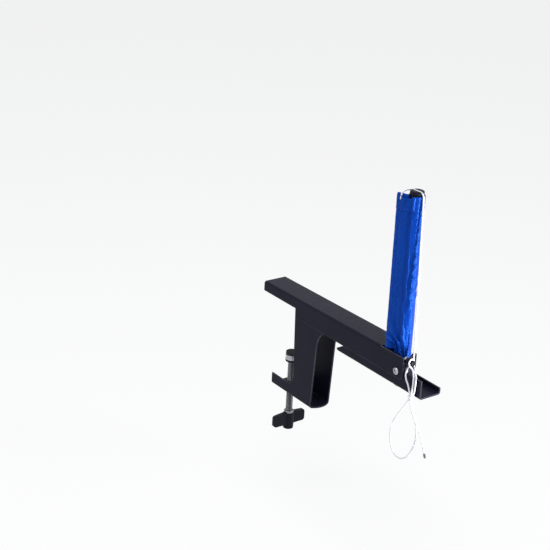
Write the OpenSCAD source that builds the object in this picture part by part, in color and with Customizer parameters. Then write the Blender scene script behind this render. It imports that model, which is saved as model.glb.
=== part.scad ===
// Table tennis net clamp with its post, end sleeve and tension cord.
// Millimetres. X = 0 is the side edge of the table and +X points away from it,
// Y = 0 is the middle of the arm, Z = 0 is the top of the table and +Z is up.

/* [Table] */
// Thickness held between the arm and the pressure pad, board and rim together
table_t = 56; // [40:1:66]

/* [Arm] */
// Length of the arm that lies on the table
arm_reach = 50; // [40:1:60]
// Distance from the table edge to the outboard end of the arm
arm_run = 161; // [158:1:170]
// Outer width of the arm
arm_w = 27; // [26:0.5:32]
// Thickness of all folded sheet
sheet = 1.5; // [1:0.1:2]
// Height of the arm's top above the table at its inboard end
arm_rise_in = 10; // [8:0.5:12]
// Height of the arm's top above the table at its outboard end
arm_rise_out = 12; // [10:0.5:13]
// Depth of the arm's skirts below the table top, outboard of the table
skirt_drop = 9.5; // [8:0.5:12]
// Gap between the table edge and the start of the deep skirts
skirt_start = 3; // [1:0.5:6]
// Radius of the skirts' lower outboard corner
skirt_corner = 4.5; // [2:0.5:7]
// How much sooner the arm's far wall ends than its near wall, outboard
far_short = 21; // [18:0.5:23]
// Width of the rubber block under the upper jaw
arm_pad_w = 20; // [14:0.5:20]
// Distance from the arm's inboard end to the rubber block
arm_pad_inset = 1.5; // [0.5:0.5:4]

/* [Clamp frame] */
// Length of the lower jaw, inboard of the table edge
jaw_reach = 32; // [26:1:40]
// Depth of the frame's underside below the table top
frame_drop = 95; // [92:1:110]
// Height of the lower jaw's side walls
jaw_h = 12; // [9:0.5:15]
// Distance from the table edge to the frame's outboard edge at the bottom
frame_out = 32.5; // [26:0.5:40]
// How far the outboard edge moves out by the height where it flares
frame_lean = 4.3; // [0:0.1:8]
// Radius of the flare under the arm
flare_r = 20; // [12:1:26]
// Gap between the table edge and the throat, just below the table top
throat_gap = 0.5; // [0.2:0.1:2]
// Gap between the table edge and the throat, at its lower end
throat_gap_low = 3.3; // [2:0.1:6]
// Radius of the throat's lower corner
throat_r = 9.5; // [4:0.5:9.5]
// Outward bow of the frame floor's outboard edge
floor_bow = 4.3; // [1:0.1:8]

/* [Screw and pad] */
// Distance from the lower jaw's inboard end to the screw's axis
screw_setback = 16; // [12:0.5:18]
// Outer diameter of the clamp screw
screw_d = 7; // [6:0.5:8]
// Width of the weld nut across its flats
nut_af = 13; // [11:0.5:15]
// Height of the weld nut
nut_h = 6; // [4:0.5:8]
// Diameter of the pressure pad
pad_d = 13; // [11:0.5:16]
// Thickness of the pad's rubber face
pad_face_t = 3; // [2:0.5:4]
// Height of the pad's metal cup
cup_h = 5; // [4.5:0.5:6]
// Height of the ring that keeps the screw in the cup
retainer_h = 2.3; // [1.5:0.1:3]
// Radial play of the screw in the nut and of its neck in the pad
turn_play = 0.05; // [0.02:0.01:0.1]

/* [Wing knob] */
// Depth of the knob hub's top below the table top, where the screw rests
knob_drop = 123.5; // [118:0.5:132]
// Diameter of the knob's hub
hub_d = 11; // [10.5:0.5:14]
// Height of the knob's hub
hub_h = 17.5; // [16:0.5:22]
// Distance across the tips of the wings
wing_span = 38; // [30:1:46]
// Height of a wing at its tip
wing_h = 13; // [9:0.5:14]
// Thickness of a wing
wing_t = 5.5; // [4:0.5:7]
// Height of the metal collar that stands above the hub
collar_h = 2.5; // [1.5:0.5:4]

/* [Post carrier] */
// Distance from the table edge to the carrier's inboard end
carrier_in = 67; // [60:1:80]
// How far the carrier runs on past the arm's outboard end
carrier_past = 23; // [19:0.5:35]
// Depth of the carrier's underside below the table top
carrier_drop = 19; // [18:0.5:24]
// Depth of the near wall's upper edge below the table top
carrier_lip = 1; // [0.5:0.5:3]
// Depth of the far wall's upper edge below the table top, outboard of the arm's far wall
far_lip = 12.5; // [10:0.5:14]
// Slope of the side walls' inboard ends
end_slope = 31; // [25:1:40]
// Radius of the outboard walls' lower inboard corners
carrier_corner = 3; // [1:0.5:4]

/* [Post] */
// Distance of the post's axis from the arm's outboard end
post_inset = 16.5; // [16:0.5:20]
// Outer diameter of the post
post_d = 12; // [10:0.5:12.5]
// Wall of the post tube
post_wall = 1; // [0.8:0.1:1.5]
// Height of the post tube's upper end above the table
post_top = 154.6; // [140:0.2:154.6]
// Height of the cap's visible head
cap_h = 3.4; // [3:0.2:5]
// How far the cap's head stands out past the tube
cap_lip = 0.25; // [0.1:0.05:0.6]
// Width of the slot for the cord in the cap
cap_slot_w = 2.4; // [2:0.1:3]
// Depth of the slot for the cord in the cap
cap_slot_d = 1.5; // [1:0.1:2.5]
// Wall of the socket round the post's foot
socket_wall = 2; // [1.5:0.1:2]
// Height of the socket round the post's foot
socket_h = 12; // [8:0.5:12]
// Diameter of the bolt that holds the post
post_bolt_d = 6; // [5:0.5:6]

/* [Cord peg] */
// Height of the peg's axis above the table top
peg_z = 8; // [6:0.5:9]
// Distance of the peg's axis from the middle of the arm, towards the near side
peg_y = 7.5; // [6:0.5:7.5]
// Diameter of the peg where the cord goes round it
peg_d = 4.8; // [4:0.1:4.8]
// Length of the peg where the cord goes round it
peg_len = 6.4; // [6:0.1:8]
// Diameter of the peg's head
peg_head_d = 5.4; // [5.2:0.1:8]
// Thickness of the peg's head
peg_head_t = 1.2; // [0.8:0.1:2]
// Height of the peg bracket's upper edge above the table top
bracket_top = 14; // [12.5:0.5:16]
// Width of the peg bracket
bracket_w = 12; // [11.5:0.5:16]

/* [Side screws] */
// Distance from each wall's outboard end to its side screw
side_screw_inset = 8.3; // [6:0.1:10]
// Depth of the side screws' axis below the table top
side_screw_drop = 3.5; // [3:0.1:5]
// Thread diameter of the side screws
side_screw_d = 4; // [3:0.5:4]
// Head diameter of the side screws
side_head_d = 6.8; // [6:0.1:8]

/* [End sleeve] */
// Height of the sleeve's upper hem above the table
sleeve_top = 154; // [130:1:154]
// Height of the lower hem of the sleeve's tube above the table
sleeve_low = 3.6; // [3:0.2:12]
// Thickness of the sleeve's cloth, over the post at the top
sleeve_wall = 0.7; // [0.5:0.1:1]
// How much wider the sleeve is at its lower hem
sleeve_flare = 0.5; // [0:0.1:1]
// Width of the flat flap that the net is sewn to, at its upper hem
flap_w = 15.5; // [12:0.5:18]
// Thickness of the flap, two layers of cloth
flap_t = 1.2; // [0.8:0.1:1.6]

/* [Cord] */
// Diameter of the cord
cord_d = 1.5; // [1.2:0.1:1.5]

/* [Hidden] */
$fn = 64;

// colours
black_paint = [0.09, 0.09, 0.12];
black_plastic = [0.11, 0.11, 0.13];
black_rubber = [0.07, 0.07, 0.08];
zinc = [0.62, 0.63, 0.66];
sleeve_blue = [0.05, 0.18, 0.62];
cord_white = [0.9, 0.91, 0.95];
tip_grey = [0.3, 0.3, 0.33];

// clearances
past = 1;          // how far a cut runs past the face that it opens
still_fit = 0.02;  // radial gap of pieces that are fixed in each other
seat_gap = 0.3;    // gap between a piece and the neighbour that it only clears

// sheet metal
inner_w = arm_w - 2 * sheet;           // width inside the arm, and outside the folds nested in it
nested_inner = inner_w / 2 - sheet;    // half width inside the clamp frame and the carrier
arm_pad_out = 2.5;                     // outboard end of the rubber block
nest_gap = 0.5;                        // room above the clamp frame inside the arm

// screw and pad, heights
screw_inset = jaw_reach - screw_setback; // from the table edge to the screw's axis
screw_r = screw_d / 2;
pad_top = -table_t;
cup_top = pad_top - pad_face_t;
cup_low = cup_top - cup_h;
pad_low = cup_low - retainer_h;
neck_r = screw_r * 0.65;               // neck that turns in the retainer
head_r = screw_r * 0.86;               // end of the screw, inside the cup
head_h = 2.7;                          // height of the screw's end
head_play = 0.2;                       // play above the screw's end, and of its shoulder
cavity_h = head_h + 0.5 + head_play;   // depth of the cup's cavity
floor_top = -frame_drop + sheet;
nut_top = floor_top + nut_h;

// wing knob, heights
hub_top = -knob_drop;
hub_low = hub_top - hub_h;
screw_low = hub_low + 2;
insert_r = screw_r + 0.7;
insert_depth = hub_h - 5;
wing_low = hub_top - wing_h;
wing_corner = 2.5;

// post
post_x = arm_run - post_inset;
post_r = post_d / 2;
post_bore_r = post_r - post_wall;
carrier_floor = -carrier_drop + sheet; // upper face of the carrier's floor
carrier_out = arm_run + carrier_past;
cap_r = post_r + cap_lip;
cap_spigot = 12;
cap_top = post_top + cap_h;
plug_h = 15;
plug_r = post_bore_r - still_fit;
bolt_r = post_bolt_d / 2;
washer_r = bolt_r * 2;
washer_t = 1.2;
bolt_head_h = 3.2;
socket_r = post_r + still_fit + socket_wall;

// outboard end of the arm's far wall, and opening in the arm for the post and its sleeve
far_end = arm_run - far_short;
flap_slim = 1.2;                       // how much narrower the flap is at its lower hem
open_w = arm_w - 2 * sheet;
open_in = post_x - flap_w + flap_slim - 3 * seat_gap;

// peg and its bracket
bracket_out = arm_run + 0.2;
bracket_in = bracket_out - sheet;
bracket_near = -nested_inner + 0.1;
foot_len = 8;
peg_cover = 1.5;                       // sheet left above the peg's hole
ledge_corner = 1.8;                    // cut corner of the lower step, on the near side
horn_from_peg = 4.6;                   // from the peg's axis to the higher step
horn_slope = 3;                        // width of the slope between the steps
peg_stud_r = 1.5;
stud_past = 0.5;                       // how far the peg's stud runs past its nut
peg_nut_h = 2.4;
peg_nut_af = 5.5;

// side screws
side_x = arm_run - side_screw_inset;
side_z = -side_screw_drop;
side_r = side_screw_d / 2;
side_head_h = 1.8;
side_nut_h = 3.2;
side_nut_af = 1.75 * side_screw_d;

// knot on the cord
knot_at = [arm_run + 15.5, -15.3, -18];
knot_r = 2.8;
knot_bore_r = 2;
knot_h = 4;
knot_soft = [0.5, 0.7];                // its cut outer corners, in radius and in height
tip_len = 4.5;
tip_r = cord_d / 2 + 0.3;

// The cord: out of the sleeve's upper hem, over the cap, down past the peg and over the carrier's
// near wall, through the knot, round the hanging loop, back through the knot, once round the peg,
// and through the knot a third time to its tip. X is measured from the arm's outboard end.
cord_from_hem = [
  [-24.6, -10.6, 149.6], [-24.5, -10.5, 152.4], [-24.7, -9.4, 155], [-24.9, -6.4, 156.5],
  [-24.4, -3, 157.2], [-22.6, -0.6, 157.4], [-19.4, 0, 157.4], [-15, 0, 157.4], [-12, 0, 157.4],
  [-9.7, 0, 156.6], [-8.4, 0, 154.8], [-8, 0, 152.5]
];
cord_past_peg = [
  [-5.5, -0.7, 115], [-3, -1.4, 78], [-0.5, -2.1, 40], [1, -2.6, 18], [1.4, -3, 10]
];
cord_to_knot = [
  [2.4, -3.1, 4.6], [4.6, -4, 2.2], [7.6, -6, 1.5], [11, -8.6, 1], [14.4, -10.9, 0.5],
  [16.8, -12.5, -0.2], [18.2, -14, -3], [18.5, -14.5, -7.5], [18.1, -14.5, -12.5], [16.35, -14.5, -18]
];
cord_loop = [
  [16, -14.3, -22.5], [17.6, -14, -27.5], [20.3, -13.8, -34], [23, -13.4, -43],
  [24.2, -13.2, -52], [23, -13.2, -61], [19, -13.4, -71], [13.5, -13.6, -79],
  [6.5, -13.8, -83], [-0.5, -14, -82], [-5.5, -14.2, -76], [-7.7, -14.4, -66],
  [-6, -14.6, -54], [-1, -14.8, -44], [6, -15, -33], [11.5, -15.2, -24], [14.5, -15.3, -18]
];
cord_to_peg = [
  [12.3, -14.9, -13.5], [9.4, -14.4, -9], [6.5, -14.2, -5.5], [4.8, -13.8, -1.5],
  [4, -12.1, 1.4], [3.5, -10.2, 3.6]
];
cord_turn = [
  [3.3, -8, 4.75], [3.35, -5.9, 5.2], [3.45, -4.4, 7.1], [3.6, -4.7, 9.6], [3.8, -6.7, 11.1],
  [4.05, -9.1, 10.8], [4.35, -10.65, 8.8], [4.7, -10.5, 6.5], [5.4, -9.4, 4.8]
];
cord_to_tip = [
  [6.7, -8.8, 3.5], [8.2, -9, 2.5], [10.1, -10, 1.7], [12.1, -11.5, 0.8], [14.1, -12.9, -0.5],
  [15.6, -14.3, -3.3], [16.4, -15.2, -7.5], [16.5, -15.9, -12.5], [16.35, -16.2, -18], [16.4, -16.3, -22.5],
  [18.6, -16.3, -28.5], [23, -15.8, -36], [27, -14, -44], [30.3, -12, -54], [32.5, -9.5, -67]
];
cord_route = [
  for (p = concat(
    cord_from_hem, cord_past_peg, cord_to_knot, cord_loop, cord_to_peg, cord_turn, cord_to_tip
  )) p + [arm_run, 0, 0]
];
cord_sides = 8;

function unit(v) = v / norm(v);

// Height of the arm's upper face at x
function arm_top(x) = arm_rise_in + (arm_rise_out - arm_rise_in) * (x + arm_reach) / (arm_reach + arm_run);

// Points on an arc round centre c, from angle a0 to angle a1
function arc(c, r, a0, a1, steps = 8) =
  [for (i = [0:steps]) c + r * [cos(a0 + (a1 - a0) * i / steps), sin(a0 + (a1 - a0) * i / steps)]];

// Direction of a path at each of its points
function headings(p) = [
  for (i = [0:len(p) - 1]) unit(p[min(i + 1, len(p) - 1)] - p[max(i - 1, 0)])
];

// Directions square to a path, carried along it without twist
function carried(t, first) = [
  for (i = 0, n = unit(first - (first * t[0]) * t[0]);
       i < len(t);
       i = i + 1, n = i < len(t) ? unit(n - (n * t[i]) * t[i]) : n) n
];

// Two triangles for each side between neighbouring rings of n points, and a closing fan at each end
function tube_faces(rings, n) = concat(
  [for (i = [0:rings - 2]) for (k = [0:n - 1]) [i * n + k, (i + 1) * n + k, i * n + (k + 1) % n]],
  [for (i = [0:rings - 2]) for (k = [0:n - 1])
    [i * n + (k + 1) % n, (i + 1) * n + k, (i + 1) * n + (k + 1) % n]],
  [for (k = [1:n - 2]) [0, k, k + 1]],
  [for (k = [1:n - 2]) [(rings - 1) * n, (rings - 1) * n + k + 1, (rings - 1) * n + k]]
);

// An outline in the XZ plane, given thickness along Y about y_mid
module upright(y_mid, width) {
  translate([0, y_mid + width / 2, 0]) rotate([90, 0, 0]) linear_extrude(width) children();
}

// A cylinder along Y from y0 to y1
module along_y(x, z, r, y0, y1) {
  translate([x, y0, z]) rotate([-90, 0, 0]) cylinder(r = r, h = y1 - y0);
}

// A cylinder along X from x0 to x1
module along_x(y, z, r, x0, x1) {
  translate([x0, y, z]) rotate([0, 90, 0]) cylinder(r = r, h = x1 - x0);
}

// A cylinder on the screw's axis from z0 to z1
module on_screw(r, z0, z1) {
  translate([-screw_inset, 0, z0]) cylinder(r = r, h = z1 - z0);
}

// A cylinder on the post's axis from z0 to z1
module on_post(r, z0, z1) {
  translate([post_x, 0, z0]) cylinder(r = r, h = z1 - z0);
}

// Both side screws' places: the near wall's, and the same distance from the far wall's end
module at_both_sides() {
  translate([side_x, 0, 0]) children();
  translate([side_x - far_short, 0, 0]) mirror([0, 1, 0]) children();
}

// Holes for both side screws, each through its own side of the arm
module side_holes(r) {
  at_both_sides() along_y(0, side_z, r, -arm_w / 2 - past, -nested_inner + past);
}

// Arm: an inverted channel, with shallow walls over the table and deeper ones outboard
module arm_wall_outline(end) {
  polygon(concat(
    [[-arm_reach, 0], [skirt_start, 0], [skirt_start, -skirt_drop]],
    arc([end - skirt_corner, -skirt_drop + skirt_corner], skirt_corner, -90, 0),
    [[end, arm_top(end)], [-arm_reach, arm_rise_in]]
  ));
}

module top_arm() {
  color(black_paint) difference() {
    union() {
      upright(-(arm_w - sheet) / 2, sheet) arm_wall_outline(arm_run);
      upright((arm_w - sheet) / 2, sheet) arm_wall_outline(far_end);
      upright(0, arm_w) polygon([
        [-arm_reach, arm_rise_in - sheet], [arm_run, arm_rise_out - sheet],
        [arm_run, arm_rise_out], [-arm_reach, arm_rise_in]
      ]);
    }
    translate([open_in, -open_w / 2, arm_rise_in - sheet - past])
      cube([arm_run - open_in + past, open_w, arm_rise_out - arm_rise_in + sheet + 2 * past]);
    translate([far_end, 0, arm_rise_in - sheet - past])
      cube([far_short + past, arm_w / 2 + past, arm_rise_out - arm_rise_in + sheet + 2 * past]);
    side_holes(side_r + still_fit);
  }
}

// Rubber block that fills the arm over the table
module arm_pad() {
  pad_in = -arm_reach + arm_pad_inset;
  color(black_rubber) upright(0, arm_pad_w) polygon([
    [pad_in, 0], [arm_pad_out, 0],
    [arm_pad_out, arm_top(arm_pad_out) - sheet], [pad_in, arm_top(pad_in) - sheet]
  ]);
}

// Clamp frame: two C-shaped side walls nested in the arm, joined by the floor of the lower jaw
flare_x = frame_out + frame_lean;
flare_z = -skirt_drop - flare_r + 1.5;
flare_turn = 60;
jaw_top = -frame_drop + jaw_h;

module frame_wall_outline() {
  inside_top = arm_top(throat_gap) - sheet - nest_gap;
  polygon(concat(
    [[-jaw_reach, -frame_drop], [frame_out, -frame_drop]],
    arc([flare_x + flare_r, flare_z], flare_r, 180, 180 - flare_turn, 6),
    [[flare_x + flare_r * (1 - cos(flare_turn)), inside_top], [throat_gap, inside_top], [throat_gap, 0]],
    arc([throat_gap_low - throat_r, jaw_top + throat_r], throat_r, 0, -90),
    [[-jaw_reach, jaw_top]]
  ));
}

module clamp_frame() {
  bow_r = (inner_w * inner_w / 4 + floor_bow * floor_bow) / (2 * floor_bow);
  half_angle = asin(inner_w / 2 / bow_r);
  color(black_paint) difference() {
    union() {
      for (side = [-1, 1]) upright(side * (inner_w - sheet) / 2, sheet) frame_wall_outline();
      translate([0, 0, -frame_drop]) linear_extrude(sheet) polygon(concat(
        [[-jaw_reach, inner_w / 2], [-jaw_reach, -inner_w / 2]],
        arc([frame_out + floor_bow - bow_r, 0], bow_r, -half_angle, half_angle, 12)
      ));
    }
    on_screw(screw_r + 0.75, -frame_drop - past, floor_top + past);
  }
}

module weld_nut() {
  color(black_paint) difference() {
    translate([-screw_inset, 0, floor_top]) rotate([0, 0, 30])
      cylinder(r = nut_af / 2 / cos(30), h = nut_h, $fn = 6);
    on_screw(screw_r + turn_play, floor_top - past, nut_top + past);
  }
}

// Clamp screw: shank, neck and the end that turns inside the pad's cup
module clamp_screw() {
  head_top = cup_low + cavity_h - head_play;
  color(zinc) union() {
    on_screw(screw_r, screw_low, pad_low - head_play);
    on_screw(neck_r, pad_low - head_play, head_top);
    on_screw(head_r, head_top - head_h, head_top);
  }
}

module pressure_cup() {
  color(zinc) difference() {
    on_screw(pad_d / 2, cup_low, cup_top);
    on_screw(head_r + seat_gap, cup_low - past, cup_low + cavity_h);
  }
}

module pad_face() {
  color(black_rubber) on_screw(pad_d / 2 - 0.4, cup_top, pad_top);
}

module pad_retainer() {
  color(black_plastic) difference() {
    on_screw(pad_d / 2 - 0.2, pad_low, cup_low);
    on_screw(neck_r + turn_play, pad_low - past, cup_low + past);
  }
}

// Wing knob: a hub with two flat wings whose upper edges rise to it
module wing_outline() {
  tip = wing_span / 2;
  polygon(concat(
    [[0, hub_top], [-hub_d / 2, hub_top]],
    arc([-tip + wing_corner, hub_top - wing_corner - 1], wing_corner, 90, 180, 5),
    arc([-tip + wing_corner, wing_low + wing_corner], wing_corner, 180, 270, 5),
    arc([tip - wing_corner, wing_low + wing_corner], wing_corner, -90, 0, 5),
    arc([tip - wing_corner, hub_top - wing_corner - 1], wing_corner, 0, 90, 5),
    [[hub_d / 2, hub_top]]
  ));
}

module wing_knob() {
  color(black_plastic) difference() {
    union() {
      on_screw(hub_d / 2, hub_low, hub_top);
      translate([-screw_inset, 0, 0]) rotate([0, 0, 90])
        translate([0, wing_t / 2, 0]) rotate([90, 0, 0]) linear_extrude(wing_t) wing_outline();
    }
    on_screw(insert_r + still_fit, hub_top - insert_depth - still_fit, hub_top + past);
    on_screw(screw_r + still_fit, screw_low - still_fit, hub_top);
  }
}

// Metal bush that the screw is fixed in, with a collar on top of the hub
module knob_insert() {
  color(zinc) difference() {
    union() {
      on_screw(insert_r, hub_top - insert_depth, hub_top);
      on_screw(hub_d / 2 - 0.5, hub_top, hub_top + collar_h);
    }
    on_screw(screw_r + still_fit, hub_top - insert_depth - past, hub_top + collar_h + past);
  }
}

// Post carrier: an upright channel that hangs under the arm and runs on past its end
module carrier_wall_outline(outboard_top) {
  slope_x = carrier_in + (carrier_drop - carrier_corner - carrier_lip) / tan(end_slope);
  polygon(concat(
    arc([carrier_in + carrier_corner, -carrier_drop + carrier_corner], carrier_corner, 180, 270, 5),
    [[carrier_out, -carrier_drop], [carrier_out, outboard_top], [far_end, outboard_top],
     [far_end, -carrier_lip], [slope_x, -carrier_lip]]
  ));
}

module post_carrier() {
  color(black_paint) difference() {
    union() {
      upright(-(inner_w - sheet) / 2, sheet) carrier_wall_outline(-carrier_lip);
      upright((inner_w - sheet) / 2, sheet) carrier_wall_outline(-far_lip);
      translate([carrier_in + carrier_corner, -inner_w / 2, -carrier_drop])
        cube([carrier_out - carrier_in - carrier_corner, inner_w, sheet]);
    }
    on_post(bolt_r + still_fit, -carrier_drop - past, carrier_floor + past);
    side_holes(side_r + still_fit);
  }
}

module post_socket() {
  color(black_paint) difference() {
    on_post(socket_r, carrier_floor, carrier_floor + socket_h);
    on_post(post_r + still_fit, carrier_floor - past, carrier_floor + socket_h + past);
  }
}

module post_tube() {
  color(black_paint) difference() {
    on_post(post_r, carrier_floor, post_top);
    on_post(post_bore_r, carrier_floor - past, post_top + past);
  }
}

// Threaded plug fixed inside the foot of the post
module post_plug() {
  color(zinc) difference() {
    on_post(plug_r, carrier_floor, carrier_floor + plug_h);
    on_post(bolt_r + still_fit, carrier_floor - past, carrier_floor + plug_h + past);
  }
}

module post_bolt() {
  head_top = -carrier_drop - washer_t;
  color(zinc) difference() {
    union() {
      on_post(bolt_r, head_top, carrier_floor + plug_h - 3);
      on_post(bolt_r * 1.7, head_top - bolt_head_h, head_top);
    }
    translate([post_x, 0, head_top - bolt_head_h - past])
      cylinder(r = bolt_r * 0.95, h = bolt_head_h * 0.6 + past, $fn = 6);
  }
}

module post_washer() {
  color(zinc) difference() {
    on_post(washer_r, -carrier_drop - washer_t, -carrier_drop);
    on_post(bolt_r + still_fit, -carrier_drop - washer_t - past, -carrier_drop + past);
  }
}

// Cap: a slotted head on a spigot inside the tube
module post_cap() {
  color(black_plastic) difference() {
    union() {
      on_post(plug_r, post_top - cap_spigot, post_top);
      on_post(cap_r, post_top, cap_top);
    }
    translate([post_x - cap_r - past, -cap_slot_w / 2, cap_top - cap_slot_d])
      cube([2 * (cap_r + past), cap_slot_w, cap_slot_d + past]);
  }
}

// Side screws: one through each wall of the arm, with its nut inside the carrier
module side_screw() {
  face = -arm_w / 2;
  nut_face = -nested_inner;
  difference() {
    union() {
      along_y(0, side_z, side_head_d / 2, face - side_head_h, face);
      along_y(0, side_z, side_r, face, nut_face + side_nut_h);
    }
    for (turn = [0, 90]) translate([0, face - side_head_h, side_z]) rotate([0, turn, 0])
      cube([side_r * 2, side_head_h, 0.8], center = true);
  }
}

module side_screws() {
  color(zinc) at_both_sides() side_screw();
}

module side_nut() {
  difference() {
    translate([0, -nested_inner, side_z]) rotate([-90, 0, 0])
      cylinder(r = side_nut_af / 2 / cos(30), h = side_nut_h, $fn = 6);
    along_y(0, side_z, side_r + still_fit, -nested_inner - past, -nested_inner + side_nut_h + past);
  }
}

module side_nuts() {
  color(zinc) at_both_sides() side_nut();
}

// Peg bracket: a foot on the carrier's floor and an upright across the arm's open end
module peg_bracket() {
  ledge_z = peg_z + peg_stud_r + peg_cover;
  horn_in = horn_from_peg - peg_y;
  color(black_paint) difference() {
    union() {
      translate([bracket_in, 0, 0]) rotate([90, 0, 90]) linear_extrude(sheet) polygon([
        [bracket_near, carrier_floor], [bracket_near + bracket_w, carrier_floor],
        [bracket_near + bracket_w, bracket_top], [horn_in, bracket_top], [horn_in - horn_slope, ledge_z],
        [bracket_near + ledge_corner, ledge_z], [bracket_near, ledge_z - ledge_corner]
      ]);
      translate([bracket_out - foot_len, bracket_near, carrier_floor])
        cube([foot_len, bracket_w, sheet]);
    }
    along_x(-peg_y, peg_z, peg_stud_r + still_fit, bracket_in - past, bracket_out + past);
  }
}

module cord_peg() {
  peg_end = bracket_out + peg_len;
  color(black_plastic) union() {
    along_x(-peg_y, peg_z, peg_stud_r, bracket_in - peg_nut_h - stud_past, bracket_out);
    along_x(-peg_y, peg_z, peg_d / 2, bracket_out, peg_end);
    along_x(-peg_y, peg_z, peg_head_d / 2, peg_end, peg_end + peg_head_t);
  }
}

module peg_nut() {
  color(zinc) difference() {
    translate([bracket_in - peg_nut_h, -peg_y, peg_z]) rotate([0, 90, 0])
      cylinder(r = peg_nut_af / 2 / cos(30), h = peg_nut_h, $fn = 6);
    along_x(-peg_y, peg_z, peg_stud_r + still_fit, bracket_in - peg_nut_h - past, bracket_in + past);
  }
}

// End sleeve: a cloth tube round the post, closed by a seam on the near side,
// where its two layers run on as a flat flap, inboard and towards the near side.
flap_steps = 8;
tube_steps = 26;
sleeve_rings = 19;
seam_at = -66;       // angle of the seam, where the flap leaves the tube
back_join = -102;    // angle where the tube meets the back of the flap
back_from = 0.34;    // share of the flap's width where its back begins
flap_bow = 0.8;      // how far the flap's free edge bows back
flap_ripple = 0.25;  // depth of the flap's shallow wave
gather_h = 1.1;      // depth of its gathers at the lower hem
hem_rise = 9;        // how far the flap's hem lies above the tube's
rise_from = 0.85;    // share of the way down where that rise begins
rise_full = 0.4;     // share of the flap's width where it is complete

// Share of the way down the sleeve, 0 at the upper hem and 1 at the lower one
function down(i) = i / (sleeve_rings - 1);
// Radius of the tube, with long puckers that wander as they run down
function sleeve_r(a, s) = post_r + sleeve_wall + sleeve_flare * s + seat_gap
  + 0.16 * sin(3 * a + 300 * s) + 0.12 * sin(5 * a - 700 * s);
// Sideways wave of the flap, deepest in the gathers near the lower hem
function flap_wave(f, s) =
  (flap_ripple * sin(520 * s) + gather_h * pow(s, 4) * sin(400 * f + 120)) * sin(160 * f);
// A point of the flap: f from 0 at the seam to 1 at its free edge, out from its middle towards the near side
function flap_at(f, s, out) =
  let (stand = sleeve_r(seam_at, s) - flap_t / 2 + out - flap_bow * f * f + flap_wave(f, s),
       run = (flap_w - flap_slim * s) * f)
  [stand * cos(seam_at) + run * sin(seam_at), stand * sin(seam_at) - run * cos(seam_at), hem_lift(f, s)];
// Rise of the flap's lower part, where it lies on the arm's upper edge and is gathered up
function hem_lift(f, s) = hem_rise * min(1, f / rise_full) * max(0, s - rise_from) / (1 - rise_from);

function sleeve_ring(s) = concat(
  [for (k = [0:flap_steps]) flap_at(1 - k / flap_steps, s, flap_t / 2)],
  [for (k = [1:tube_steps])
    let (a = seam_at + (360 + back_join - seam_at) * k / tube_steps, r = sleeve_r(a, s))
    [r * cos(a), r * sin(a), 0]],
  [for (k = [1:flap_steps]) flap_at(back_from + (1 - back_from) * k / flap_steps, s, -flap_t / 2)]
);
ring_points = 2 * flap_steps + 1 + tube_steps;

// Triangles that close an end of the sleeve: a strip over the flap and a fan over the tube
function sleeve_end(base, flip) =
  let (last = ring_points - 1,
       strip = [for (k = [0:flap_steps - 1]) let (near = k, far = last - k)
         each [[near, near + 1, far], [near + 1, far - 1, far]]],
       fan = [for (k = [flap_steps:flap_steps + tube_steps - 1]) [flap_steps, k, k + 1]])
  [for (t = concat(strip, [for (q = fan) if (q[1] != flap_steps) q]))
    flip ? [base + t[0], base + t[2], base + t[1]] : [base + t[0], base + t[1], base + t[2]]];

function sleeve_sides() = [
  for (i = [0:sleeve_rings - 2]) for (k = [0:ring_points - 1])
    let (a = i * ring_points + k, b = i * ring_points + (k + 1) % ring_points,
         c = a + ring_points, d = b + ring_points)
    each [[a, b, c], [b, d, c]]
];

module net_sleeve() {
  color(sleeve_blue) difference() {
    translate([post_x, 0, 0]) polyhedron(
      points = [for (i = [0:sleeve_rings - 1]) let (s = down(i)) for (p = sleeve_ring(s))
        [p[0], p[1], sleeve_top + (sleeve_low - sleeve_top) * s + p[2]]],
      faces = concat(
        sleeve_sides(),
        sleeve_end(0, true),
        sleeve_end((sleeve_rings - 1) * ring_points, false)
      )
    );
    on_post(post_r + seat_gap, sleeve_low - 5, sleeve_top + past);
  }
}

module tension_cord() {
  way = headings(cord_route);
  side = carried(way, [0, 1, 0]);
  color(cord_white) polyhedron(
    points = [for (i = [0:len(cord_route) - 1]) for (k = [0:cord_sides - 1])
      let (a = 360 * k / cord_sides)
      cord_route[i] + cord_d / 2 * (cos(a) * side[i] + sin(a) * cross(way[i], side[i]))],
    faces = tube_faces(len(cord_route), cord_sides)
  );
}

// The knot, as a rounded ring round the strands that it ties
module cord_knot() {
  color(cord_white) translate(knot_at) rotate_extrude() polygon([
    [knot_bore_r, -knot_h / 2], [knot_r - knot_soft[0], -knot_h / 2], [knot_r, -knot_h / 2 + knot_soft[1]],
    [knot_r, knot_h / 2 - knot_soft[1]], [knot_r - knot_soft[0], knot_h / 2], [knot_bore_r, knot_h / 2]
  ]);
}

module cord_tip() {
  ends = len(cord_route);
  way = unit(cord_route[ends - 1] - cord_route[ends - 2]);
  color(tip_grey) translate(cord_route[ends - 1])
    rotate(a = acos(way[2]), v = cross([0, 0, 1], way)) cylinder(r = tip_r, h = tip_len);
}

top_arm();
arm_pad();
clamp_frame();
weld_nut();
clamp_screw();
wing_knob();
knob_insert();
pressure_cup();
pad_face();
pad_retainer();
post_carrier();
post_socket();
post_tube();
post_plug();
post_bolt();
post_washer();
post_cap();
side_screws();
side_nuts();
peg_bracket();
cord_peg();
peg_nut();
net_sleeve();
tension_cord();
cord_knot();
cord_tip();
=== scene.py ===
"""Looks of a table tennis net clamp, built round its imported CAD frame.

The frame is in metres: X = 0 is the side edge of the table and +X points away from it, Y = 0 is
the middle of the arm, Z = 0 is the top of the table. Shapes are written in millimetres and
scaled once, where their meshes are made.
"""
import math
import random

import bmesh
import bpy
from mathutils import Matrix, Quaternion, Vector, noise

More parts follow.
